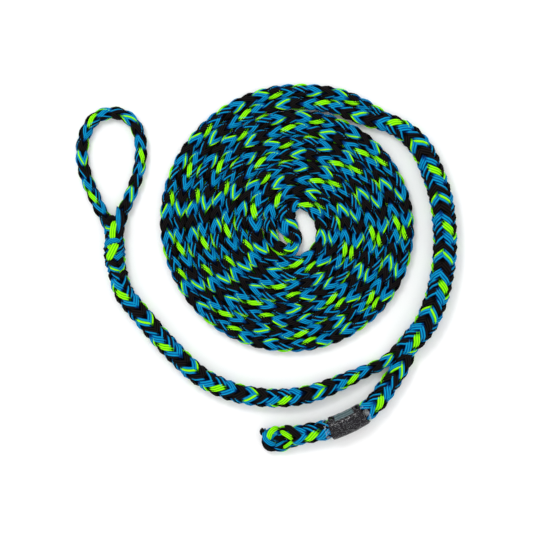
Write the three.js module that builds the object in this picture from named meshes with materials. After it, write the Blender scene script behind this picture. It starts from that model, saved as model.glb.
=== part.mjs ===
// A spliced, adjustable tow rope: twelve-strand hollow braid with a fixed eye at one end,
// a long hollow throat that a doubled, coiled loop runs back through, and a labelled tail.
// Millimetres, +Z up. The rope lies flat on Z = 0, and the origin is under the middle of the layout.
import * as THREE from 'three';

// Driving dimensions
const ROPE = 12.3; // bare rope, across
const GAP = 0.35; // clearance between pieces that touch on the real rope
const SIDES = 12; // sides of a rope's section
const THROAT_CORE = 0.52; // size of the rope inside the throat, as a share of the throat
const THROAT_BORE = 0.56;
const BURY_CORE = 0.54; // size of a tucked tail, as a share of the rope it is tucked in
const BURY_BORE = 0.58;

// The flat coil: a doubled rope wound as a spiral, counted in turns from +X
const COIL_X = 27;
const COIL_Y = 43;
const COIL_PITCH = 24.4; // two ropes side by side
const COIL_RADIUS = 132; // middle of the doubled rope at 0 turns
const COIL_START = 70 / 360;
const COIL_END = 4;
const COIL_SQUEEZE = 4.2; // the innermost turn is pushed out this far on its lower side
const COIL_EDGE = 1.5; // rounding of the coil's edges
const COIL_POINTS = 80; // points of one turn of the outline

// The sleeve and the label under it
const TAIL = 19.6;
const LABEL_INNER = TAIL + 4 * GAP;
const LABEL_OUTER = LABEL_INNER + 0.8;
const SLEEVE_INNER = LABEL_OUTER + 2 * GAP;
const SLEEVE_OUTER = SLEEVE_INNER + 1.0;
const SLEEVE_LIFT = (SLEEVE_OUTER - TAIL) / 2; // the tail is held this far off the floor by the sleeve

// Routes: x, y and the diameter there, and how far the rope is held off the floor, if it is
const EYE_LOOP = [
  [-158, 46.6, ROPE],
  [-166.5, 61, ROPE],
  [-173, 76, ROPE],
  [-178.6, 89, ROPE],
  [-182, 101.5, ROPE],
  [-183.4, 114, ROPE],
  [-182, 127, ROPE],
  [-177.3, 140, ROPE],
  [-169, 150, ROPE],
  [-155, 154.4, ROPE],
  [-142, 152.5, ROPE],
  [-132, 145, ROPE],
  [-125.6, 129.5, ROPE],
  [-124.6, 114, ROPE],
  [-126.3, 99, ROPE],
  [-130.7, 84, ROPE],
  [-137, 68, ROPE],
  [-143, 54.5, ROPE],
  [-145, 46.6, ROPE],
];

const EYE_THROAT = [
  [-151.4, 44.6, 19.2],
  [-151.2, 34, 20.6],
  [-150.3, 17, 20.4],
  [-148, -3, 19.6],
  [-146.4, -11, 19.6],
  [-144.9, -16.6, 19.7],
];

const TUCKED_STRETCH = [
  [-144, -18.8, 19.7],
  [-141.2, -24.8, 19.7],
  [-137, -31, 19.7],
  [-127, -43, 19.7],
  [-106, -68, 19.7],
  [-86, -89, 19.7],
  [-66, -107, 19.6],
  [-36, -122, 19.2],
  [-6, -128.4, 18.6],
  [19, -129, 18.3],
  [32, -127.6, 18.1],
  [43.2, -125.2, 18],
];

const TAPER = [
  [44.6, -124.8, 18],
  [57, -121, 17.2],
  [74, -113.8, 16],
  [103.6, -100.7, 12.4],
];

const STANDING_PART = [
  [104, -100.5, 12.3],
  [116.7, -94.6, 12.5],
  [125, -88.4, 12],
  [132, -81, 11],
];

const THROAT = [
  [118, 147, 19.4],
  [130.5, 141, 20.4],
  [146, 129, 21.8],
  [157, 114, 22.6],
  [168, 88, 23.2],
  [174, 68, 23.6],
  [177.5, 38, 23.6],
  [177, 8, 23.6],
  [171.5, -22, 23.6],
  [166.5, -38, 23.6],
  [160, -53, 23.4],
  [152.5, -64.5, 23],
  [145.5, -74, 22.4],
  [137.4, -83.6, 22.2],
];

// The middle of the doubled rope between the coil and the throat, with each leg's diameter
const LEADS = [
  [71.5, 162.2, ROPE],
  [86, 157.6, ROPE],
  [99, 153.6, 11.8],
  [109, 150.6, 10.8],
  [116.8, 147.7, 9.7],
];

const COIL_BIGHT = [
  [67.5, 43.6, ROPE],
  [67.2, 47, ROPE],
  [63, 58, ROPE],
  [53.5, 69.5, ROPE],
  [40.7, 76.2, ROPE],
  [27, 77.4, ROPE],
  [17, 73.5, ROPE],
  [9, 66, ROPE],
  [4.5, 56, ROPE],
  [3.5, 46, ROPE],
  [4, 37, ROPE],
  [7, 27, ROPE],
  [13.2, 20.2, ROPE],
  [20, 17.6, ROPE],
  [26, 19, ROPE],
  [28.5, 26, ROPE],
  [26.5, 33, ROPE],
  [23, 40, ROPE],
  [20, 48, ROPE],
  [21, 55, ROPE],
  [24.5, 60.7, ROPE],
  [30, 64.4, ROPE],
  [36, 64.9, ROPE],
  [44.8, 60.8, ROPE],
  [51.7, 53.2, ROPE],
  [55, 47, ROPE],
  [55.3, 43.6, ROPE],
];

const TAIL_STRAND = [
  [140.7, -88.8, 10.4],
  [137.4, -95, 13.6],
  [130, -104.5, 18.2],
  [120.4, -118, TAIL],
  [113.5, -128.5, TAIL, 0.4],
  [105, -137.5, TAIL, SLEEVE_LIFT],
  [94, -146, TAIL, SLEEVE_LIFT],
  [81, -153, TAIL, SLEEVE_LIFT],
  [67, -158.6, TAIL, SLEEVE_LIFT],
  [54, -162, TAIL, 0.4],
  [41, -164.4, TAIL],
  [28.6, -167, TAIL],
];

const SLEEVE = [
  [101.2, -141, SLEEVE_OUTER],
  [94, -146, SLEEVE_OUTER],
  [81, -153, SLEEVE_OUTER],
  [67, -158.6, SLEEVE_OUTER],
  [60.6, -160.6, SLEEVE_OUTER],
];

const LABEL = [
  [97.4, -143.8, SLEEVE_OUTER],
  [94, -146, SLEEVE_OUTER],
  [81, -153, SLEEVE_OUTER],
  [67, -158.6, SLEEVE_OUTER],
  [64.4, -159.5, SLEEVE_OUTER],
];

const STOPPER_EYE = [
  [25.3, -162.8, 10.4],
  [15, -163.4, 11],
  [5.5, -165, 11],
  [0.2, -171, 11],
  [4.5, -177, 11],
  [14, -177.6, 11],
  [22, -175.4, 10.6],
  [27.4, -173.4, 10.2],
];

const ROPE_LOOK = { color: 0x0a6a9c, roughness: 0.62, metalness: 0 };
const CORE_LOOK = { color: 0x6cc80c, roughness: 0.65, metalness: 0 };
const LABEL_LOOK = { color: 0x26272b, roughness: 0.45, metalness: 0 };
const SLEEVE_LOOK = { color: 0xdfe4e6, roughness: 0.15, metalness: 0, transparent: true, opacity: 0.35 };

function ring(radius, sides) {
  const points = [];
  for (let i = 0; i < sides; i += 1) {
    const angle = (2 * Math.PI * i) / sides;
    points.push(new THREE.Vector2(radius * Math.cos(angle), radius * Math.sin(angle)));
  }
  return points;
}

function floorRoute(points) {
  return new THREE.CatmullRomCurve3(
    points.map(([x, y, diameter, lift = 0]) => new THREE.Vector3(x, y, diameter / 2 + lift)),
  );
}

// A tube along the route: its radius follows the route's own diameters, times outer,
// and a bore makes it hollow from end to end.
function ropeTube(points, { steps, outer = 1, bore = 0 }) {
  const route = floorRoute(points);
  const section = new THREE.Shape(ring(outer, SIDES));
  if (bore > 0) {
    section.holes.push(new THREE.Path(ring(bore, SIDES)));
  }
  const geometry = new THREE.ExtrudeGeometry(section, { steps, extrudePath: route, bevelEnabled: false });
  const centres = route.getSpacedPoints(steps);
  const radii = centres.map((_, i) => {
    const along = route.getUtoTmapping(i / steps) * (points.length - 1);
    const before = Math.min(Math.floor(along), points.length - 2);
    return THREE.MathUtils.lerp(points[before][2], points[before + 1][2], along - before) / 2;
  });
  const position = geometry.attributes.position;
  const vertex = new THREE.Vector3();
  for (let i = 0; i < position.count; i += 1) {
    vertex.fromBufferAttribute(position, i);
    const distances = centres.map((centre) => centre.distanceTo(vertex));
    const nearest = distances.indexOf(Math.min(...distances));
    vertex.sub(centres[nearest]).multiplyScalar(radii[nearest]).add(centres[nearest]);
    position.setXYZ(i, vertex.x, vertex.y, vertex.z);
  }
  return geometry;
}

// One leg of the doubled rope beside its middle line: side is 1 for the outer leg, -1 for the inner
function legBeside(points, side) {
  const middle = floorRoute(points);
  return points.map(([x, y, diameter], i) => {
    const tangent = middle.getTangent(i / (points.length - 1));
    const offset = (side * (diameter + GAP)) / 2;
    return [x - tangent.y * offset, y + tangent.x * offset, diameter];
  });
}

function coilRadius(turns) {
  const low = Math.max(0, -Math.sin(2 * Math.PI * turns));
  return COIL_RADIUS - COIL_PITCH * turns + COIL_SQUEEZE * low * (turns / COIL_END) ** 2;
}

function coilOutline(from, edge) {
  const points = [];
  for (let i = 0; i <= COIL_POINTS; i += 1) {
    const turns = from + i / COIL_POINTS;
    const radius = coilRadius(turns) + edge;
    const angle = 2 * Math.PI * turns;
    points.push(new THREE.Vector2(radius * Math.cos(angle), radius * Math.sin(angle)));
  }
  return points;
}

function coilBody() {
  const outline = new THREE.Shape(coilOutline(COIL_START, COIL_PITCH / 2 - GAP));
  outline.holes.push(new THREE.Path(coilOutline(COIL_END - 1, 2 * GAP - COIL_PITCH / 2)));
  return new THREE.ExtrudeGeometry(outline, {
    depth: ROPE - 2 * COIL_EDGE,
    bevelThickness: COIL_EDGE,
    bevelSize: COIL_EDGE,
    bevelOffset: -COIL_EDGE,
    bevelSegments: 2,
  });
}

const group = new THREE.Group();

function add(name, geometry, look) {
  const mesh = new THREE.Mesh(geometry, new THREE.MeshStandardMaterial(look));
  mesh.name = name;
  group.add(mesh);
  return mesh;
}

// The fixed end: its eye, the throat where the tail goes in, and the stretch the tail fills
add('eye_loop', ropeTube(EYE_LOOP, { steps: 22 }), ROPE_LOOK);
add('eye_throat', ropeTube(EYE_THROAT, { steps: 5 }), ROPE_LOOK);
add('tucked_stretch', ropeTube(TUCKED_STRETCH, { steps: 14, bore: BURY_BORE }), ROPE_LOOK);
add('eye_tucked_tail', ropeTube(TUCKED_STRETCH, { steps: 14, outer: BURY_CORE }), CORE_LOOK);
add('tucked_taper', ropeTube(TAPER, { steps: 4 }), ROPE_LOOK);
add('standing_part', ropeTube(STANDING_PART, { steps: 3 }), ROPE_LOOK);

// The adjustable throat: a hollow rope with the loop's other leg running through it
add('throat_cover', ropeTube(THROAT, { steps: 18, bore: THROAT_BORE }), ROPE_LOOK);
add('throat_core', ropeTube(THROAT, { steps: 18, outer: THROAT_CORE }), CORE_LOOK);
add('loop_leg_core_side', ropeTube(legBeside(LEADS, 1), { steps: 4 }), ROPE_LOOK);
add('loop_leg_cover_side', ropeTube(legBeside(LEADS, -1), { steps: 4 }), ROPE_LOOK);

// The doubled loop, coiled flat, and the bight at its heart
const coil = add('loop_coil', coilBody(), ROPE_LOOK);
coil.position.set(COIL_X, COIL_Y, COIL_EDGE);
add('loop_bight', ropeTube(COIL_BIGHT, { steps: 30 }), ROPE_LOOK);

// The tail that shortens the loop, its label and its stopper eye
add('tail_strand', ropeTube(TAIL_STRAND, { steps: 12, bore: BURY_BORE }), ROPE_LOOK);
add('tail_tucked_end', ropeTube(TAIL_STRAND, { steps: 12, outer: BURY_CORE }), CORE_LOOK);
add('label', ropeTube(LABEL, {
  steps: 3,
  outer: LABEL_OUTER / SLEEVE_OUTER,
  bore: LABEL_INNER / SLEEVE_OUTER,
}), LABEL_LOOK);
add('clear_sleeve', ropeTube(SLEEVE, { steps: 4, bore: SLEEVE_INNER / SLEEVE_OUTER }), SLEEVE_LOOK);
add('stopper_eye', ropeTube(STOPPER_EYE, { steps: 10 }), ROPE_LOOK);

export default group;
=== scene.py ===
import math

import bpy
import numpy as np
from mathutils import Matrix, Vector


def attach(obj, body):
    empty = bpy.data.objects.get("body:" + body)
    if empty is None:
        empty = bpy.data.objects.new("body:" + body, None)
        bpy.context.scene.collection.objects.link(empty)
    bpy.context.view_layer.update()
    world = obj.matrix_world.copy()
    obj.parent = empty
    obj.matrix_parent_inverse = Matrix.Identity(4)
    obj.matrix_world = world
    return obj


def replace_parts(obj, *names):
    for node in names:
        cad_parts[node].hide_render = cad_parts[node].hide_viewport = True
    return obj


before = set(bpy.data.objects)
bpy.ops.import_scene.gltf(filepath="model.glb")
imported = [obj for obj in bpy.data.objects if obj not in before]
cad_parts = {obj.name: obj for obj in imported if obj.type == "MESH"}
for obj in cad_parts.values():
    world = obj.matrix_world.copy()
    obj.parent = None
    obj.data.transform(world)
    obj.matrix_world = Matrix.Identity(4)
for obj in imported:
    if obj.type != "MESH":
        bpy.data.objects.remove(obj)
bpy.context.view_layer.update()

# ---------------------------------------------------------------- driving dimensions
ROPE = 0.0123  # the bare rope's width
COIL_ROPE = 0.0132  # the same rope pressed wider by its neighbours in the coil
LEG = 0.0061  # each leg's distance from the middle of the doubled rope
COIL = (0.027, 0.043)
COIL_PITCH = 0.0244
COIL_RADIUS = 0.132
COIL_START = 70 / 360
COIL_TURNS = 4
COIL_SQUEEZE = 0.0042
POINTS_PER_TURN = 24
FLOOR_GAP = 0.0005  # keeps the lowest strands clear of the floor

# one turn of a strand round the bare rope, and where a second rope inside fills the braid out
BARE_PITCH = 0.080
FULL_PITCH = 0.058
FULL_WIDTH = 0.0236
FIRST_TURN = 0.3
BUNCHED_TURNS = 0.5  # more turns in a short stretch, where the eye's throat is bunched up
BUNCHED_LENGTH = 0.05
ROLL_BEFORE_BIGHT = math.radians(45)
ROLL_AFTER_BIGHT = math.radians(-165)
TAIL_FIRST_TURN = 0.25
TAIL_STRETCH = 1.13  # the tail's braid is drawn out longer than the rest
TAIL_ROLL = math.radians(-110)

# ---------------------------------------------------------------- camera, floor and light
FRAME_SIDE = 0.533
scene = bpy.context.scene
scene.view_settings.view_transform = "Standard"
camera_data = bpy.data.cameras.new("camera")
camera_data.lens = 120
camera_data.clip_end = 20
camera = bpy.data.objects.new("camera", camera_data)
camera.location = (0.0005, 0.0015, FRAME_SIDE * camera_data.lens / camera_data.sensor_width)
scene.collection.objects.link(camera)
scene.camera = camera


def socket_values(shader, **values):
    for name, value in values.items():
        shader.inputs[name.replace("_", " ")].default_value = value


def area_light(name, place, size, power):
    data = bpy.data.lights.new(name, "AREA")
    data.energy = power
    data.size = size
    light = bpy.data.objects.new(name, data)
    light.location = place
    light.rotation_euler = (-Vector(place)).to_track_quat("-Z", "Y").to_euler()
    scene.collection.objects.link(light)


world = bpy.data.worlds.new("world")
world.use_nodes = True
socket_values(world.node_tree.nodes["Background"], Color=(1, 1, 1, 1), Strength=1.12)
scene.world = world
area_light("key", place=(-0.55, 0.75, 1.4), size=0.45, power=8)

floor_mesh = bpy.data.meshes.new("floor")
floor_mesh.from_pydata([(-4, -4, 0), (4, -4, 0), (4, 4, 0), (-4, 4, 0)], [], [(0, 1, 2, 3)])
floor = bpy.data.objects.new("floor", floor_mesh)
floor_look = bpy.data.materials.new("floor")
floor_look.use_nodes = True
socket_values(floor_look.node_tree.nodes["Principled BSDF"], Base_Color=(0.93, 0.93, 0.93, 1), Roughness=0.9)
floor_mesh.materials.append(floor_look)
scene.collection.objects.link(floor)


# ---------------------------------------------------------------- material nodes
def node(tree, kind, **settings):
    made = tree.nodes.new(kind)
    for name, value in settings.items():
        setattr(made, name, value)
    return made


def feed(tree, value, socket):
    """Links an output to a socket, or sets a plain value on it."""
    if isinstance(value, bpy.types.NodeSocket):
        tree.links.new(value, socket)
    else:
        socket.default_value = value


def ramp(tree, source, low, high, start, end):
    """Start at low and below, end at high and above."""
    made = node(tree, "ShaderNodeMapRange")
    for name, value in (("From Min", low), ("From Max", high), ("To Min", start), ("To Max", end)):
        made.inputs[name].default_value = value
    tree.links.new(source, made.inputs["Value"])
    return made.outputs[0]


def blended(tree, share, first, second):
    """The first colour where the share is 0, the second where it is 1."""
    made = node(tree, "ShaderNodeMix", data_type="RGBA")
    for name, value in (("Factor", share), ("A", first), ("B", second)):
        feed(tree, value, made.inputs[name])
    return made.outputs["Result"]


def calculated(tree, operation, *sources):
    made = node(tree, "ShaderNodeMath", operation=operation)
    for source, socket in zip(sources, made.inputs):
        tree.links.new(source, socket)
    return made.outputs[0]


def noise(tree, source, scale, detail):
    """A noise texture's value at the places that the source gives."""
    made = node(tree, "ShaderNodeTexNoise")
    socket_values(made, Scale=scale, Detail=detail)
    tree.links.new(source, made.inputs["Vector"])
    return made.outputs[0]


def bumped(tree, height, strength, distance):
    made = node(tree, "ShaderNodeBump")
    socket_values(made, Strength=strength, Distance=distance)
    tree.links.new(height, made.inputs["Height"])
    return made.outputs[0]


def stored(tree, name, output):
    return node(tree, "ShaderNodeAttribute", attribute_name=name).outputs[output]


def braid_material():
    """Yarn with fibres along it, with painted shade: darker in its creases, and nearly black under another
    strand.
    """
    look = bpy.data.materials.new("braided_yarn")
    look.use_nodes = True
    tree = look.node_tree
    shader = tree.nodes["Principled BSDF"]
    crease_shade = stored(tree, "crease_shade", "Fac")
    stretch = node(tree, "ShaderNodeVectorMath", operation="MULTIPLY")
    tree.links.new(stored(tree, "fibre", "Vector"), stretch.inputs[0])
    stretch.inputs[1].default_value = (260, 3200, 900)
    grain = noise(tree, stretch.outputs[0], scale=1.0, detail=3)
    # painted shade: the yarn colour blends into its painted shade colour in the grooves, and goes nearly
    # black where another strand covers it
    yarn = blended(tree, crease_shade, stored(tree, "yarn", "Color"), stored(tree, "shadow", "Color"))
    cover_shade = ramp(tree, crease_shade, 1, 2, 1, 0.06)
    tint = node(tree, "ShaderNodeVectorMath", operation="SCALE")
    tree.links.new(yarn, tint.inputs[0])
    tree.links.new(
        calculated(tree, "MULTIPLY", ramp(tree, grain, 0.25, 0.75, 0.72, 1.25), cover_shade), tint.inputs["Scale"]
    )
    tree.links.new(tint.outputs[0], shader.inputs["Base Color"])
    tree.links.new(bumped(tree, grain, strength=0.5, distance=0.0004), shader.inputs["Normal"])
    socket_values(shader, Roughness=0.6, Specular_IOR_Level=0.035)
    return look


def film_base(name, **values):
    """A thin film's material, with its attribute place, a coarse and a fine grain, and a bump."""
    look = bpy.data.materials.new(name)
    look.use_nodes = True
    tree = look.node_tree
    shader = tree.nodes["Principled BSDF"]
    socket_values(shader, **values)
    place = stored(tree, "place", "Vector")
    coarse, fine = noise(tree, place, scale=260, detail=4), noise(tree, place, scale=900, detail=3)
    return look, tree, shader, place, coarse, fine, bumped(tree, coarse, strength=0.6, distance=0.0007)


def label_material():
    """Dark printed film, mottled, with one paler strip along its upper edge."""
    strip_x = (-0.0105, 0.0105)
    strip_y = (-0.0150, -0.0066)
    edge = 0.0004
    look, tree, shader, place, _, fine, bump = film_base(
        "label_film", Roughness=0.45, Specular_IOR_Level=0.02, Coat_Weight=0.4, Coat_Roughness=0.04
    )
    parts = node(tree, "ShaderNodeSeparateXYZ")
    tree.links.new(place, parts.inputs[0])
    inside = []
    for source, (low, high) in zip(parts.outputs, (strip_x, strip_y)):
        inside.append(ramp(tree, source, low - edge, low + edge, 0, 1))
        inside.append(ramp(tree, source, high - edge, high + edge, 1, 0))
    strip = inside[0]
    for share in inside[1:]:
        strip = calculated(tree, "MULTIPLY", strip, share)
    lines = node(tree, "ShaderNodeTexWave", bands_direction="Y")
    socket_values(lines, Scale=160, Distortion=2.0)
    tree.links.new(place, lines.inputs["Vector"])
    mottled = ramp(tree, fine, 0.35, 0.7, 0, 1)
    mottle = blended(tree, mottled, (0.0012, 0.001, 0.0016, 1), (0.012, 0.009, 0.014, 1))
    pale = blended(tree, lines.outputs[1], (0.035, 0.062, 0.070, 1), (0.115, 0.165, 0.175, 1))
    tree.links.new(blended(tree, strip, mottle, pale), shader.inputs["Base Color"])
    tree.links.new(bump, shader.inputs["Normal"])
    tree.links.new(bump, shader.inputs["Coat Normal"])
    return look


def sleeve_material():
    """Clear shrunk film: nearly invisible where it lies tight, milky in its creases and loose ends."""
    look, tree, shader, place, coarse, _, bump = film_base(
        "clear_shrink", Base_Color=(0.83, 0.88, 0.9, 1), Roughness=0.08
    )
    creases = calculated(tree, "ABSOLUTE", ramp(tree, coarse, 0.3, 0.7, -1, 1))
    parts = node(tree, "ShaderNodeSeparateXYZ")
    tree.links.new(place, parts.inputs[0])
    loose = ramp(tree, calculated(tree, "ABSOLUTE", parts.outputs[0]), 0.0185, 0.0205, 0, 1)
    cloudy = calculated(tree, "MULTIPLY", loose, ramp(tree, coarse, 0.42, 0.68, 0.0, 0.16))
    milky = calculated(tree, "ADD", ramp(tree, creases, 0.0, 0.2, 0.03, 0.0), cloudy)
    tree.links.new(milky, shader.inputs["Alpha"])
    tree.links.new(bump, shader.inputs["Normal"])
    return look


BRAID = braid_material()


def keep(name, mesh, material):
    """Makes a finished mesh an object that rides on the part."""
    mesh.materials.append(material)
    piece = bpy.data.objects.new(name, mesh)
    scene.collection.objects.link(piece)
    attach(piece, "root")
    return piece


# ---------------------------------------------------------------- routes
STEP = 0.0028
FINE_STEPS = 40  # samples between two points, before they are spaced evenly


def waypoint(x, y, width, lift=0, height=None):
    """One point of a route: rope that isn't squashed is as high as it is wide."""
    return x, y, width, lift, width if height is None else height


def smooth(points, step=STEP):
    """A Catmull-Rom route through the points, every step: x, y, width, lift, height."""
    rows = np.array([waypoint(*point) for point in points], float)
    knots = np.vstack([2 * rows[0] - rows[1], rows, 2 * rows[-1] - rows[-2]])
    h = np.linspace(0, 1, FINE_STEPS, endpoint=False)[:, None]
    spans = []
    for p0, p1, p2, p3 in zip(knots, knots[1:], knots[2:], knots[3:]):
        d0, d1, d2 = (
            max(np.linalg.norm((b - a)[:2]), 1e-6) ** 0.5 for a, b in ((p0, p1), (p1, p2), (p2, p3))
        )
        t1 = ((p1 - p0) / d0 - (p2 - p0) / (d0 + d1) + (p2 - p1) / d1) * d1
        t2 = ((p2 - p1) / d1 - (p3 - p1) / (d1 + d2) + (p3 - p2) / d2) * d1
        start = (2 * h**3 - 3 * h**2 + 1) * p1 + (h**3 - 2 * h**2 + h) * t1
        end = (3 * h**2 - 2 * h**3) * p2 + (h**3 - h**2) * t2
        spans.append(start + end)
    fine = np.vstack([*spans, knots[-2]])
    along = np.concatenate([[0], np.cumsum(np.linalg.norm(np.diff(fine[:, :2], axis=0), axis=1))])
    even = np.linspace(0, along[-1], max(2, round(along[-1] / step) + 1))
    route = np.column_stack([np.interp(even, along, column) for column in fine.T])
    return route, even, along[::FINE_STEPS]


def box_blur(values, radius):
    padded = np.pad(values, radius, mode="edge")
    kernel = np.ones(2 * radius + 1) / (2 * radius + 1)
    return np.convolve(padded, kernel, mode="valid")


def unit(vectors):
    return vectors / np.linalg.norm(vectors, axis=-1, keepdims=True)


def leftward(forward):
    """The level direction to the left of each forward one."""
    return unit(np.column_stack([-forward[:, 1], forward[:, 0], np.zeros(len(forward))]))


def frame_of(route, along):
    """Places on the rope's middle line, and its forward, left and up directions."""
    middle = np.column_stack([route[:, 0], route[:, 1], route[:, 4] / 2 + route[:, 3] + FLOOR_GAP])
    forward = unit(np.gradient(middle, along, axis=0))
    left = leftward(forward)
    return middle, forward, left, np.cross(forward, left)


def woven(route, along, first_turn, stretch=1.0):
    """Braid turns by each step of a route: a braid that is filled out turns in a shorter length."""
    size = (route[:, 2] + route[:, 4]) / 2
    pitch = stretch * np.interp(size, (ROPE, FULL_WIDTH), (BARE_PITCH, FULL_PITCH))
    return first_turn + np.concatenate([[0], np.cumsum(np.diff(along) / pitch[1:])])


# ---------------------------------------------------------------- the braid
# the strands that cross the rope from left to right, and from right to left
WAYS = {1: "NKXYBK", -1: "MJBGLK"}
STRANDS_A_WAY = 6
# each yarn's colour on its crest, and the painted shade in the groove beside it
BLUE = (0.002, 0.315, 0.57, 0.0, 0.05, 0.22)
GREEN = (0.33, 0.98, 0.004, 0.08, 0.50, 0.0)
# the black's crest colour holds a faint brownish painted highlight
BLACK = (0.009, 0.0072, 0.0075, 0.0004, 0.0003, 0.0004)
YARNS = {  # three yarns side by side, the one that trails along the rope first
    "G": (GREEN, GREEN, GREEN),
    "M": (BLUE, GREEN, BLUE),
    "N": (BLUE, BLUE, GREEN),
    "K": (BLACK, BLACK, BLACK),
    "B": (BLUE, BLUE, BLUE),
    "X": (BLUE, BLACK, BLACK),
    "Y": (BLUE, BLACK, BLUE),
    "J": (BLACK, BLACK, BLUE),
    "L": (BLUE, BLUE, BLACK),
}
# one strand's section, three round yarns: across and out as shares of half its width and half its
# thickness, and how much painted shade each point gets in the grooves, where over 1 is painted as another
# strand's shade
ACROSS = np.array([-1, -0.86, -0.66, -0.46, -0.34, -0.18, 0, 0.18, 0.34, 0.46, 0.66, 0.86, 1, 0.55, -0.55])
OUT = np.array([-0.15, 0.4, 0.62, 0.5, 0.3, 0.88, 1, 0.88, 0.3, 0.5, 0.62, 0.4, -0.15, -0.8, -0.8])
GROOVE_SHADE = np.array([1.6, 0.6, 0, 0.6, 1.15, 0.5, 0, 0.5, 1.15, 0.6, 0, 0.6, 1.6, 2, 2])
YARN_OF_FACE = np.array([0, 0, 0, 0, 1, 1, 1, 1, 2, 2, 2, 2, 2, 1, 0])
COVERED_SHADE = 2  # the painted shade value of what another strand covers: painted nearly black

SEED = 7
WANDER = 0.045  # how far a strand strays round the rope, in radians
WANDER_BLUR = 4
UNEVEN_WIDTH = 0.04
CORE_SIDES = 10
FIBRE_OFFSET = 0.01  # sets each strand's grain apart from the others'


class StrandMesh:
    """Closed tubes gathered into one mesh, with yarn colours and painted shade colours on its faces and
    painted shade amounts on its points.
    """

    def __init__(self):
        self.points = []
        self.blocks = []
        self.creases = []
        self.fibres = []
        self.count = 0

    def tube(self, rings, colours, creases, fibres):
        steps, sides = rings.shape[:2]
        index = self.count + np.arange(steps * sides).reshape(steps, sides)
        after = np.roll(index, -1, axis=1)
        quads = np.stack([index[:-1], after[:-1], after[1:], index[1:]], axis=-1).reshape(-1, 4)
        caps = np.array([index[0][::-1], index[-1]])
        self.blocks.append((quads, np.tile(colours, (steps - 1, 1))))
        self.blocks.append((caps, np.tile(colours[:1], (2, 1))))
        self.points.append(rings.reshape(-1, 3))
        self.creases.append(creases.ravel())
        self.fibres.append(fibres.reshape(-1, 3))
        self.count += steps * sides

    def build(self, name):
        points = np.vstack(self.points)
        loops = np.concatenate([faces.ravel() for faces, _ in self.blocks]).astype(np.int32)
        sides = np.concatenate([np.full(len(faces), faces.shape[1]) for faces, _ in self.blocks])
        starts = np.concatenate([[0], np.cumsum(sides)[:-1]]).astype(np.int32)
        shades = np.vstack([colours for _, colours in self.blocks])
        mesh = bpy.data.meshes.new(name)
        mesh.vertices.add(len(points))
        mesh.vertices.foreach_set("co", points.astype(np.float32).ravel())
        mesh.loops.add(len(loops))
        mesh.loops.foreach_set("vertex_index", loops)
        mesh.polygons.add(len(starts))
        mesh.polygons.foreach_set("loop_start", starts)
        mesh.polygons.foreach_set("use_smooth", np.ones(len(starts), bool))
        mesh.update(calc_edges=True)
        for label, part in (("yarn", shades[:, :3]), ("shadow", shades[:, 3:])):
            shade = mesh.attributes.new(label, "FLOAT_COLOR", "FACE")
            rgba = np.column_stack([part, np.ones(len(starts))])
            shade.data.foreach_set("color", rgba.astype(np.float32).ravel())
        crease_shade = mesh.attributes.new("crease_shade", "FLOAT", "POINT")
        crease_shade.data.foreach_set("value", np.concatenate(self.creases).astype(np.float32))
        fibre = mesh.attributes.new("fibre", "FLOAT_VECTOR", "POINT")
        fibre.data.foreach_set("vector", np.vstack(self.fibres).astype(np.float32).ravel())
        return keep(name, mesh, BRAID)


def section(side, out, half, depth):
    """A strand's section as steps from its middle line, with its directions, half its width and its depth."""
    return (
        side[:, None, :] * (ACROSS[None, :] * half[:, None])[:, :, None]
        + out[:, None, :] * (OUT[None, :] * depth[:, None])[:, :, None]
    )


def fibre_places(length, half, number):
    """Places for the grain of one strand: along it, across it, and apart from the other strands."""
    across = ACROSS[None, :] * half[:, None]
    return np.stack(
        [np.repeat(length[:, None], len(ACROSS), 1), across, np.full_like(across, number)], axis=-1
    )


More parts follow.
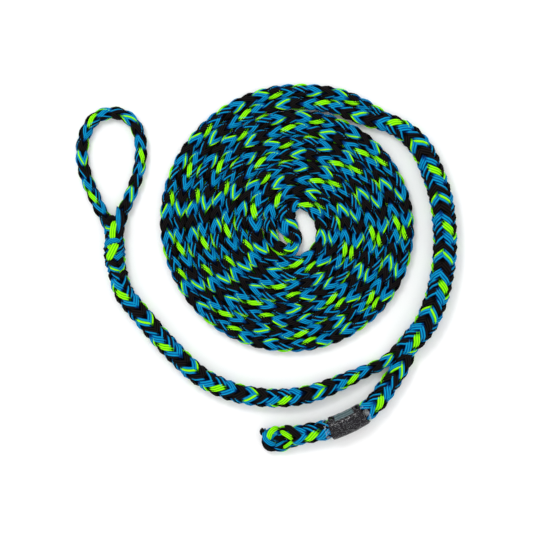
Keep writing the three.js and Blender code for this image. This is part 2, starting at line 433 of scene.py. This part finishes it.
def braid(route, along, turns, roll, cuts):
    """Twelve strands round the route, cut into pieces at the cuts: (name, first step, last step)."""
    middle, forward, left, up = frame_of(route, along)
    size = (route[:, 2] + route[:, 4]) / 2
    wide, tall = route[:, 2] / size, route[:, 4] / size
    period = 1 / np.gradient(turns, along)
    thick = 0.0021 + 0.07 * size
    sway = 0.46 * thick  # how far a strand moves out and in as it goes over and under
    radius = size / 2 - 0.6 * sway - 0.48 * thick
    pitch = np.arctan(2 * math.pi * (radius + sway) / period)
    width = period / STRANDS_A_WAY * np.sin(pitch)

    def laid(rings):
        """Rings given as distance along the rope, to the left and up, placed round its route."""
        shift = rings[:, :, 0] - along[:, None]
        return (
            middle[:, None, :]
            + forward[:, None, :] * shift[:, :, None]
            + left[:, None, :] * (rings[:, :, 1] * wide[:, None])[:, :, None]
            + up[:, None, :] * (rings[:, :, 2] * tall[:, None])[:, :, None]
        )

    meshes = [StrandMesh() for _ in cuts]
    random = np.random.default_rng(SEED)
    for way, order in WAYS.items():
        for k in range(STRANDS_A_WAY):
            theta = way * 2 * math.pi * turns + k * math.pi / 3
            wander = math.sqrt(2 * WANDER_BLUR) * box_blur(random.standard_normal(len(along)), WANDER_BLUR)
            angle = theta + roll + WANDER * wander
            half = width / 2 * (1 + UNEVEN_WIDTH * random.standard_normal())
            above = way * np.cos(3 * theta)
            reach = radius + sway * above
            spot = np.column_stack([along, reach * np.cos(angle), reach * np.sin(angle)])
            run = unit(np.gradient(spot, along, axis=0))
            side = unit(np.cross(run, np.column_stack([np.zeros(len(along)), np.cos(angle), np.sin(angle)])))
            out = np.cross(side, run)
            letter = order[(-k if way == 1 else k - 1) % STRANDS_A_WAY]
            yarns = np.array(YARNS[letter])[::-way]
            place = laid(spot[:, None, :] + section(side, out, half, thick / 2))
            # painted shade where the strand dives under the strands that cross it
            dive_shade = COVERED_SHADE * np.clip((0.16 - above) / 0.4, 0, 1)
            crease_shade = np.maximum(GROOVE_SHADE[None, :], dive_shade[:, None])
            number = FIBRE_OFFSET * (k + STRANDS_A_WAY * (way > 0))
            fibres = fibre_places(along / np.cos(pitch.mean()), half, number)
            for mesh, (_, first, last) in zip(meshes, cuts):
                part = slice(first, last + 1)
                mesh.tube(place[part], yarns[YARN_OF_FACE], crease_shade[part], fibres[part])
    # a core tube inside the strands, painted nearly black as the shade between them
    around = np.linspace(0, 2 * math.pi, CORE_SIDES, endpoint=False)[None, :]
    inner = (radius - 0.2 * thick)[:, None]
    straight = np.repeat(along[:, None], CORE_SIDES, 1)
    core = laid(np.stack([straight, inner * np.cos(around), inner * np.sin(around)], axis=-1))
    for mesh, (_, first, last) in zip(meshes, cuts):
        rings = core[first : last + 1]
        dark = np.full(rings.shape[:2], COVERED_SHADE)
        mesh.tube(rings, np.tile(BLACK, (CORE_SIDES, 1)), dark, np.zeros(rings.shape))
    return [mesh.build(name) for mesh, (name, _, _) in zip(meshes, cuts)], middle


# ---------------------------------------------------------------- the pieces of rope
STANDS_FOR = {
    "eye_rope": ["eye_loop"],
    "standing_rope": ["eye_throat", "tucked_stretch", "eye_tucked_tail", "tucked_taper", "standing_part"],
    "throat_rope": ["throat_cover", "throat_core"],
    "coil_inner_leg_1": ["loop_leg_cover_side", "loop_coil"],
    "bight_rope": ["loop_bight"],
    "coil_outer_leg_1": ["loop_leg_core_side"],
    "tail_rope": ["tail_strand", "tail_tucked_end"],
    "stopper_eye_rope": ["stopper_eye"],
}


def lay_rope(route, along, turns, roll, cuts):
    """Braids a rope along its route, and hides the CAD parts that each of its pieces stands for."""
    pieces, middle = braid(route, along, turns, roll, cuts)
    for piece, (name, first, last) in zip(pieces, cuts):
        if name in STANDS_FOR:
            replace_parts(piece, *STANDS_FOR[name])


def bump_at(t, centre, spread):
    """1 at the centre, falling to 0 over the spread on both sides."""
    return math.exp(-(((t - centre) / spread) ** 2))


def coil_leg(side, turns):
    """Points of one leg of the doubled coil: side is 1 for the outer leg, -1 for the inner one."""
    points = []
    for t in turns:
        low = max(0.0, -math.sin(2 * math.pi * t))
        # the last inner turn is pressed flat against the bight
        spread = bump_at(t, 3.46, 0.17) if side < 0 else 0
        radius = COIL_RADIUS - COIL_PITCH * t + COIL_SQUEEZE * low * (t / COIL_TURNS) ** 2 + side * LEG
        radius -= 0.0019 * spread
        # the first turn rides out where it meets the throat
        radius += 0.0019 * bump_at(t, 0.22, 0.10)
        angle = 2 * math.pi * t
        x, y = COIL[0] + radius * math.cos(angle), COIL[1] + radius * math.sin(angle)
        points.append((x, y, COIL_ROPE + 0.0038 * spread, 0, ROPE))
    return points


# the one rope's own route, in the order that it runs: x, y, width, and where they differ lift and height
TAIL_IN_EYE = [
    (-0.1487, 0.020, 0.0104, 0.005), (-0.1480, 0.032, 0.0112, 0.0035), (-0.1462, 0.041, 0.0121, 0.0012),
]
EYE_LOOP = [
    (-0.143, 0.0545, 0.0123), (-0.137, 0.068, 0.0123), (-0.1307, 0.084, 0.0123), (-0.1263, 0.099, 0.0123),
    (-0.1246, 0.114, 0.0123), (-0.1256, 0.1295, 0.0123), (-0.132, 0.145, 0.0123), (-0.142, 0.1525, 0.0123),
    (-0.155, 0.1544, 0.0123), (-0.169, 0.15, 0.0123), (-0.1773, 0.14, 0.0123), (-0.182, 0.127, 0.0123),
    (-0.1834, 0.114, 0.0123), (-0.182, 0.1015, 0.0123), (-0.1786, 0.089, 0.0123), (-0.173, 0.076, 0.0123),
    (-0.1665, 0.061, 0.0123), (-0.1592, 0.0486, 0.0123),
]
STANDING = [
    (-0.1548, 0.0405, 0.0150), (-0.1514, 0.0340, 0.0182), (-0.1503, 0.0250, 0.0205),
    (-0.1506, 0.0150, 0.0215), (-0.1496, 0.0050, 0.0208), (-0.1478, -0.0020, 0.0187),
    (-0.1466, -0.0080, 0.0198), (-0.1442, -0.0175, 0.0192), (-0.1412, -0.0248, 0.0197),
    (-0.137, -0.031, 0.0197), (-0.127, -0.043, 0.0197), (-0.106, -0.068, 0.0197), (-0.086, -0.089, 0.0197),
    (-0.066, -0.107, 0.0196), (-0.036, -0.122, 0.0192), (-0.006, -0.1284, 0.0186), (0.019, -0.129, 0.0183),
    (0.032, -0.1276, 0.0181), (0.0446, -0.1248, 0.018), (0.057, -0.121, 0.0172), (0.074, -0.1138, 0.016),
    (0.104, -0.1005, 0.0123), (0.1167, -0.0948, 0.0123),
]
THROAT = [
    (0.1250, -0.0886, 0.0128), (0.1300, -0.0848, 0.0144), (0.1354, -0.0806, 0.0180),
    (0.1413, -0.0760, 0.0212), (0.1472, -0.0700, 0.0226), (0.1525, -0.0640, 0.023), (0.16, -0.053, 0.0234),
    (0.1665, -0.038, 0.0236), (0.1715, -0.022, 0.0236), (0.177, 0.008, 0.0236), (0.1775, 0.038, 0.0236),
    (0.174, 0.068, 0.0236), (0.168, 0.088, 0.0232), (0.157, 0.114, 0.0226), (0.146, 0.129, 0.0215),
    (0.1300, 0.1405, 0.0195), (0.1175, 0.1452, 0.0180),
]
COVER_LEAD = [
    (0.1030, 0.1482, 0.0168), (0.0868, 0.1534, 0.0150), (0.0735, 0.1586, 0.0140), (0.0595, 0.1622, 0.0138),
]
BIGHT = [
    (0.0545, 0.0470, 0.0138), (0.0510, 0.0530, 0.0138), (0.0443, 0.0606, 0.0136), (0.036, 0.0649, 0.0136),
    (0.0292, 0.0650, 0.0150, 0, 0.0120), (0.0230, 0.0614, 0.0172, 0, 0.011),
    (0.0202, 0.0553, 0.0190, 0, 0.0098), (0.0196, 0.048, 0.0198, 0, 0.0094),
    (0.0226, 0.040, 0.0198, 0, 0.0094), (0.0262, 0.033, 0.0184, 0, 0.0098),
    (0.0283, 0.026, 0.0155, 0, 0.011), (0.026, 0.019, 0.0135), (0.020, 0.0174, 0.0132),
    (0.0132, 0.0200, 0.0132), (0.007, 0.027, 0.0134), (0.0042, 0.037, 0.0136), (0.0040, 0.046, 0.0140),
    (0.0052, 0.056, 0.0142), (0.0095, 0.0656, 0.0140), (0.0172, 0.0732, 0.0136), (0.027, 0.0774, 0.0134),
    (0.0407, 0.0762, 0.0132), (0.0535, 0.0695, 0.0132), (0.063, 0.058, 0.0132), (0.0672, 0.047, 0.0132),
]
CORE_LEAD = [
    (0.073, 0.1724, 0.0128), (0.087, 0.1673, 0.0125), (0.1005, 0.1612, 0.0115), (0.1135, 0.1535, 0.0110),
    (0.126, 0.1450, 0.0110, 0.003), (0.138, 0.1360, 0.0110, 0.005),
]
# the tail beyond the throat, and the small eye on its end
TAIL = [
    (0.1500, -0.0720, 0.0115, 0.005), (0.1440, -0.0800, 0.0135, 0.003), (0.1385, -0.0905, 0.0165),
    (0.130, -0.1045, 0.0185), (0.1204, -0.118, 0.0196), (0.1135, -0.1285, 0.0196, 0.0004),
    (0.105, -0.1375, 0.0196, 0.00195), (0.094, -0.146, 0.0196, 0.00195), (0.081, -0.153, 0.0196, 0.00195),
    (0.067, -0.1586, 0.0196, 0.00195), (0.054, -0.162, 0.0196, 0.0004), (0.041, -0.1644, 0.0196),
    (0.0286, -0.167, 0.0186), (0.0240, -0.1682, 0.0150),
]
STOPPER = [
    (0.0310, -0.1640, 0.0090, 0.003), (0.0253, -0.1628, 0.0104), (0.015, -0.1634, 0.011),
    (0.0055, -0.165, 0.011), (0.0002, -0.171, 0.011), (0.0045, -0.177, 0.011), (0.014, -0.1776, 0.011),
    (0.022, -0.1754, 0.0106), (0.0310, -0.1720, 0.0090, 0.003),
]
STOPPER_STEP = 0.002


def rope_runs():
    """The one rope's pieces and their points, out round the loop's inner leg and back round its outer one."""
    last_turn = round((COIL_TURNS - COIL_START) * POINTS_PER_TURN)
    even = [COIL_START + i / POINTS_PER_TURN for i in range(1, last_turn)]
    each_turn = [[t for t in even if int(t) == turn] for turn in range(COIL_TURNS)]
    inner = [(f"coil_inner_leg_{turn + 1}", coil_leg(-1, ts)) for turn, ts in enumerate(each_turn)]
    outer = [(f"coil_outer_leg_{turn + 1}", coil_leg(1, ts[::-1])) for turn, ts in enumerate(each_turn)]
    inner[0] = (inner[0][0], COVER_LEAD + inner[0][1])
    outer[0] = (outer[0][0], outer[0][1] + CORE_LEAD)
    start = [("eye_rope", TAIL_IN_EYE + EYE_LOOP), ("standing_rope", STANDING), ("throat_rope", THROAT)]
    return start + inner + [("bight_rope", BIGHT)] + outer[::-1]


def main_rope():
    runs = rope_runs()
    points = []
    firsts = []
    for _, run in runs:
        firsts.append(len(points))
        points += run
    route, along, marks = smooth(points)
    edges = [int(np.argmin(abs(along - marks[first]))) for first in firsts] + [len(along) - 1]
    cuts = [(name, edges[i], edges[i + 1]) for i, (name, _) in enumerate(runs)]
    place = {name: (along[first], along[last]) for name, first, last in cuts}
    eye_throat = place["standing_rope"][0]
    turns = woven(route, along, FIRST_TURN)
    turns += np.interp(along, (eye_throat, eye_throat + BUNCHED_LENGTH), (0, BUNCHED_TURNS))
    roll = box_blur(np.interp(along, place["bight_rope"], (ROLL_BEFORE_BIGHT, ROLL_AFTER_BIGHT)), 8)
    lay_rope(route, along, turns, roll, cuts)


def end_rope(name, points, first_turn, stretch, roll, step):
    """A rope in one piece, such as the tail."""
    route, along, _ = smooth(points, step)
    turns = woven(route, along, first_turn, stretch)
    lay_rope(route, along, turns, np.full(len(along), roll), [(name, 0, len(along) - 1)])
    return route, along


main_rope()
tail_route, tail_along = end_rope("tail_rope", TAIL, TAIL_FIRST_TURN, TAIL_STRETCH, TAIL_ROLL, STEP)
end_rope("stopper_eye_rope", STOPPER, 0, 1.0, 0, STOPPER_STEP)

# ---------------------------------------------------------------- strands that cross the splices
# each is its yarns, its width and its points: x, y and the height of its top
EYE_SPLICE = [
    ("K", 0.0036, [(-0.1582, 0.0430, 0.0120), (-0.1563, 0.0480, 0.0165), (-0.1530, 0.0508, 0.0180),
                   (-0.1500, 0.0495, 0.0175), (-0.1490, 0.0440, 0.0130)]),
    ("K", 0.0040, [(-0.1560, 0.0420, 0.0150), (-0.1545, 0.0465, 0.0160), (-0.1515, 0.0475, 0.0165),
                   (-0.1500, 0.0420, 0.0150)]),
    ("B", 0.0046, [(-0.1478, 0.0608, 0.0120), (-0.1470, 0.0570, 0.0155), (-0.1464, 0.0490, 0.0185),
                   (-0.1462, 0.0410, 0.0190), (-0.1482, 0.0355, 0.0160)]),
    ("X", 0.0040, [(-0.1448, 0.0595, 0.0120), (-0.1432, 0.0530, 0.0160), (-0.1430, 0.0440, 0.0180),
                   (-0.1450, 0.0350, 0.0185), (-0.1488, 0.0310, 0.0150)]),
    ("G", 0.0062, [(-0.1492, 0.0478, 0.0140), (-0.1506, 0.0430, 0.0200), (-0.1516, 0.0355, 0.0220),
                   (-0.1517, 0.0290, 0.0210), (-0.1512, 0.0268, 0.0160)]),
    ("B", 0.0046, [(-0.1600, 0.0190, 0.0140), (-0.1568, 0.0245, 0.0205), (-0.1515, 0.0275, 0.0225),
                   (-0.1466, 0.0268, 0.0210), (-0.1446, 0.0210, 0.0140)]),
    ("G", 0.0074, [(-0.1468, 0.0262, 0.0150), (-0.1488, 0.0225, 0.0225), (-0.1522, 0.0155, 0.0240),
                   (-0.1550, 0.0100, 0.0230), (-0.1562, 0.0070, 0.0160)]),
]
STOPPER_SPLICE = [
    ("K", 0.0060, [(0.0020, -0.1650, 0.0070), (0.0075, -0.1675, 0.0085), (0.0140, -0.1700, 0.0090),
                   (0.0200, -0.1720, 0.0080)]),
    ("B", 0.0040, [(0.0045, -0.1700, 0.0060), (0.0090, -0.1702, 0.0078), (0.0140, -0.1715, 0.0078),
                   (0.0180, -0.1745, 0.0060)]),
    ("K", 0.0044, [(0.0090, -0.1640, 0.0080), (0.0130, -0.1680, 0.0104), (0.0150, -0.1735, 0.0090)]),
    ("G", 0.0058, [(0.0130, -0.1590, 0.0080), (0.0085, -0.1598, 0.0124), (0.0044, -0.1635, 0.0130),
                   (0.0028, -0.1690, 0.0122), (0.0030, -0.1725, 0.0090)]),
    ("B", 0.0050, [(-0.0010, -0.1600, 0.0080), (-0.0015, -0.1650, 0.0122), (-0.0005, -0.1700, 0.0128),
                   (0.0050, -0.1745, 0.0126), (0.0105, -0.1755, 0.0100)]),
    ("G", 0.0052, [(0.0140, -0.1620, 0.0110), (0.0190, -0.1645, 0.0160), (0.0240, -0.1675, 0.0172),
                   (0.0285, -0.1705, 0.0150)]),
    ("G", 0.0034, [(0.0285, -0.1700, 0.0140), (0.0240, -0.1735, 0.0168), (0.0190, -0.1775, 0.0130),
                   (0.0155, -0.1798, 0.0080)]),
    ("K", 0.0064, [(0.0190, -0.1565, 0.0140), (0.0240, -0.1592, 0.0200), (0.0300, -0.1640, 0.0216),
                   (0.0355, -0.1688, 0.0190)]),
    ("K", 0.0054, [(-0.0040, -0.1598, 0.0085), (-0.0038, -0.1613, 0.0110), (-0.0034, -0.1640, 0.0110),
                   (-0.0030, -0.1665, 0.0080)]),
]
SPLICE_STEP = 0.0012
SPLICE_DEPTH = 0.0013  # half a laid strand's thickness
SPLICE_DROP = 0.0012  # from its top to its middle line


def laid_strands(name, strands):
    """Single strands that cross a splice, with tapered ends that sink into the rope."""
    mesh = StrandMesh()
    for number, (letter, width, points) in enumerate(strands):
        route, along, _ = smooth(points, SPLICE_STEP)
        line = route[:, :3] - (0, 0, SPLICE_DROP)  # the third column is the top's height here
        run = unit(np.gradient(line, along, axis=0))
        side = leftward(run)
        share = along / along[-1]
        from_end = np.minimum(share, 1 - share)
        taper = np.clip(from_end / 0.22, 0.05, 1) ** 0.45
        depth = np.full(len(along), SPLICE_DEPTH)
        rings = line[:, None, :] + section(side, np.cross(run, side), width / 2 * taper, depth)
        # painted shade towards the ends, where they sink into the rope
        buried_shade = COVERED_SHADE * np.clip(1 - from_end / 0.10, 0, 1)
        crease_shade = np.maximum(GROOVE_SHADE[None, :], buried_shade[:, None])
        fibres = fibre_places(along, np.full(len(along), width / 2), FIBRE_OFFSET * number)
        mesh.tube(rings, np.array(YARNS[letter])[YARN_OF_FACE], crease_shade, fibres)
    mesh.build(name)


laid_strands("splice_strands", EYE_SPLICE + STOPPER_SPLICE)

# ---------------------------------------------------------------- the label and the clear sleeve over it
MIDDLE_OF_SLEEVE = (0.081, -0.153)
LABEL_SPAN = (-0.0190, 0.0175)
SLEEVE_SPAN = (-0.0225, 0.0228)
FILM_RADIUS = 0.0106
FILM_THICKNESS = 0.0003
FILM_FLOOR = -0.0105  # a film is flat where it rests
LABEL_BULGE = 0.0009  # the label is rolled up thicker than the rope, and ends here
LABEL_END = 0.0185
KNOB = 0.0011  # the label's folded corners, at these places along and around it
KNOBS = ((0.0150, 2.7), (-0.0135, 2.65), (-0.0150, 2.2))
FILM_STEPS = 90
FILM_SIDES = 96


def wrinkles(along, around, seed, waves):
    """Seeded creases in a thin film, about -1 to 1."""
    random = np.random.default_rng(seed)
    total = 0
    for _ in range(waves):
        lengthwise, turns = random.uniform(-700, 700), random.integers(1, 9)
        total = total + np.sin(lengthwise * along + turns * around + random.uniform(0, 6.28))
    return total / math.sqrt(waves)


def film_shape(span, lift, crumple, seed):
    """How far along the tail, how far round it and how far out each point of a crumpled film lies."""
    around = np.linspace(0, 2 * math.pi, FILM_SIDES, endpoint=False)[None, :]
    share = np.linspace(0, 1, FILM_STEPS)[:, None]
    ragged = 0.0009 * np.sin(2 * around + seed) + 0.0005 * np.sin(5 * around + 2 * seed)
    along = span[0] + ragged + (span[1] - span[0] - 0.6 * ragged) * share
    on_label = 1 / (1 + np.exp((np.abs(along) - LABEL_END) / 0.0006))
    knobs = sum(
        np.exp(-(((along - a) / 0.0016) ** 2) - ((np.angle(np.exp(1j * (around - b))) / 0.28) ** 2))
        for a, b in KNOBS
    )
    radius = FILM_RADIUS + LABEL_BULGE * on_label + KNOB * knobs + lift
    radius = radius + crumple * wrinkles(along, around, 3, 14)
    radius = radius + 0.3 * crumple * wrinkles(2 * along, around, seed, 10)
    return along, around, radius


def shell_faces():
    """The outer and the inner skin of an open tube, and its two rims."""
    index = np.arange(FILM_STEPS * FILM_SIDES).reshape(FILM_STEPS, FILM_SIDES)
    after = np.roll(index, -1, axis=1)
    skin = FILM_STEPS * FILM_SIDES
    outer = np.stack([index[:-1], after[:-1], after[1:], index[1:]], axis=-1).reshape(-1, 4)
    rims = []
    for row, flip in ((0, -1), (FILM_STEPS - 1, 1)):
        a, b = index[row], after[row]
        rims.append(np.stack([a, b, b + skin, a + skin], axis=-1)[:, ::flip])
    return np.vstack([outer, outer[:, ::-1] + skin, *rims])


def film(name, node_name, span, lift, crumple, seed, material):
    """A crumpled open tube round the tail: across its span it bulges over the rolled ends of the label."""
    from_middle = np.hypot(tail_route[:, 0] - MIDDLE_OF_SLEEVE[0], tail_route[:, 1] - MIDDLE_OF_SLEEVE[1])
    middle, _, left, up = frame_of(tail_route, tail_along)
    along, around, radius = film_shape(span, lift, crumple, seed)
    at = tail_along[np.argmin(from_middle)] + along
    centre_line, aside, above = (
        np.stack([np.interp(at, tail_along, values) for values in vectors.T], axis=-1)
        for vectors in (middle, left, up)
    )
    shells = []
    for reach in (radius, radius - FILM_THICKNESS):
        high = np.maximum(reach * np.sin(around), FILM_FLOOR)
        shells.append(centre_line + aside * (reach * np.cos(around))[..., None] + above * high[..., None])
    points = np.vstack([shell.reshape(-1, 3) for shell in shells])
    faces = shell_faces()
    mesh = bpy.data.meshes.new(name)
    mesh.from_pydata(points.tolist(), [], faces.tolist())
    mesh.polygons.foreach_set("use_smooth", np.ones(len(faces), bool))
    place = mesh.attributes.new("place", "FLOAT_VECTOR", "POINT")
    flat = np.stack([along, radius * np.cos(around), radius * np.sin(around)], axis=-1)
    place.data.foreach_set("vector", np.vstack([flat.reshape(-1, 3)] * 2).astype(np.float32).ravel())
    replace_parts(keep(name, mesh, material), node_name)


film("label_film", "label", LABEL_SPAN, 0.0, 0.00012, 5, label_material())
film("sleeve_film", "clear_sleeve", SLEEVE_SPAN, 0.0005, 0.00022, 8, sleeve_material())
